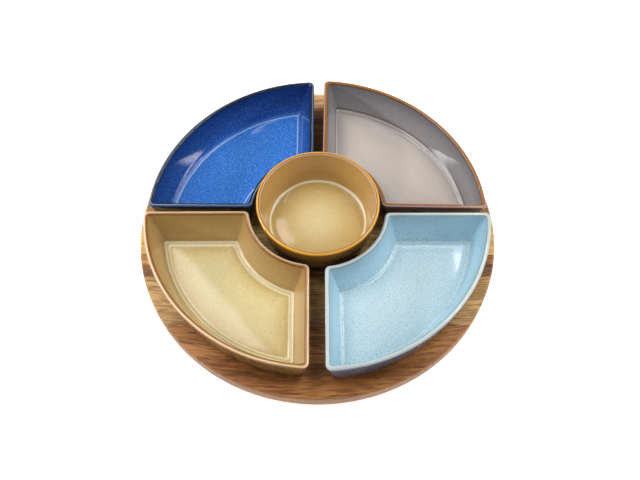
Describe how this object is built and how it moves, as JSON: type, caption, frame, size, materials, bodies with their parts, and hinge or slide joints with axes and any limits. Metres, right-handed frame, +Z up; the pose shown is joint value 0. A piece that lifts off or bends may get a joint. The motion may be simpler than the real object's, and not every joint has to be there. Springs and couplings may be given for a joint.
{
  "type": "chip and dip server",
  "caption": "Round wooden turntable that carries quarter-ring glazed dishes around a central dip bowl, for serving chips and dips.",
  "frame": {"origin": "on the table under the axis that the board turns about, between the four feet", "axes": "+Z up along the turntable's axis, +X right, -Y front; the harvest yellow dish stands front left"},
  "size_m": [0.35, 0.35, 0.0857],
  "materials": {
    "board_acacia": "oiled acacia, uneven staves, grain left to right",
    "base_acacia": "oiled acacia",
    "bearing_steel": "zinc plated pressing",
    "ball_steel": "polished",
    "screw_steel": "zinc plated",
    "foot_rubber": "matt",
    "blue_glaze": "gloss reactive glaze, cobalt, brighter and speckled on the floor, dark outside",
    "grey_glaze": "gloss reactive glaze, mauve grey, amber where it breaks on the rim",
    "harvest_glaze": "gloss reactive glaze, straw yellow, ochre on the walls, rust where it breaks on the rim",
    "light_blue_glaze": "gloss reactive glaze, light blue, speckled on the floor, slate outside"
  },
  "bodies": {
    "base": {"base_stave_front": "base_acacia", "base_stave_middle": "base_acacia", "base_stave_back": "base_acacia", "foot_front_left": "foot_rubber", "foot_front_right": "foot_rubber", "foot_back_left": "foot_rubber", "foot_back_right": "foot_rubber", "bearing_lower_plate": "bearing_steel", "base_screws": "screw_steel"},
    "turntable": {"board_stave_1": "board_acacia", "board_stave_2": "board_acacia", "board_stave_3": "board_acacia", "board_stave_4": "board_acacia", "board_stave_5": "board_acacia", "board_stave_6": "board_acacia", "board_stave_7": "board_acacia", "board_stave_8": "board_acacia", "board_stave_9": "board_acacia", "bearing_upper_plate": "bearing_steel", "board_screws": "screw_steel"},
    "ball_train": {"bearing_balls": "ball_steel"},
    "dish_blue": {"dish_blue": "blue_glaze"},
    "dish_grey": {"dish_grey": "grey_glaze"},
    "dish_harvest": {"dish_harvest": "harvest_glaze"},
    "dish_light_blue": {"dish_light_blue": "light_blue_glaze"},
    "dip_bowl": {"dip_bowl": "harvest_glaze"}
  },
  "joints": [
    {"name": "turntable_spin", "type": "hinge", "parent": "base", "child": "turntable", "pos_m": [0, 0, 0.017], "axis": [0, 0, 1], "continuous": true},
    {"name": "ball_train_roll", "type": "hinge", "parent": "base", "child": "ball_train", "pos_m": [0, 0, 0.017], "axis": [0, 0, 1], "continuous": true},
    {"name": "dish_blue_lift", "type": "slide", "parent": "turntable", "child": "dish_blue", "axis": [0, 0, 1], "range_m": [0, 0.08]},
    {"name": "dish_grey_lift", "type": "slide", "parent": "turntable", "child": "dish_grey", "axis": [0, 0, 1], "range_m": [0, 0.08]},
    {"name": "dish_harvest_lift", "type": "slide", "parent": "turntable", "child": "dish_harvest", "axis": [0, 0, 1], "range_m": [0, 0.08]},
    {"name": "dish_light_blue_lift", "type": "slide", "parent": "turntable", "child": "dish_light_blue", "axis": [0, 0, 1], "range_m": [0, 0.08]},
    {"name": "dip_bowl_lift", "type": "slide", "parent": "turntable", "child": "dip_bowl", "axis": [0, 0, 1], "range_m": [0, 0.08]}
  ],
  "couplings": [
    {"joint": "ball_train_roll", "follows": "turntable_spin", "ratio": 0.5}
  ]
}
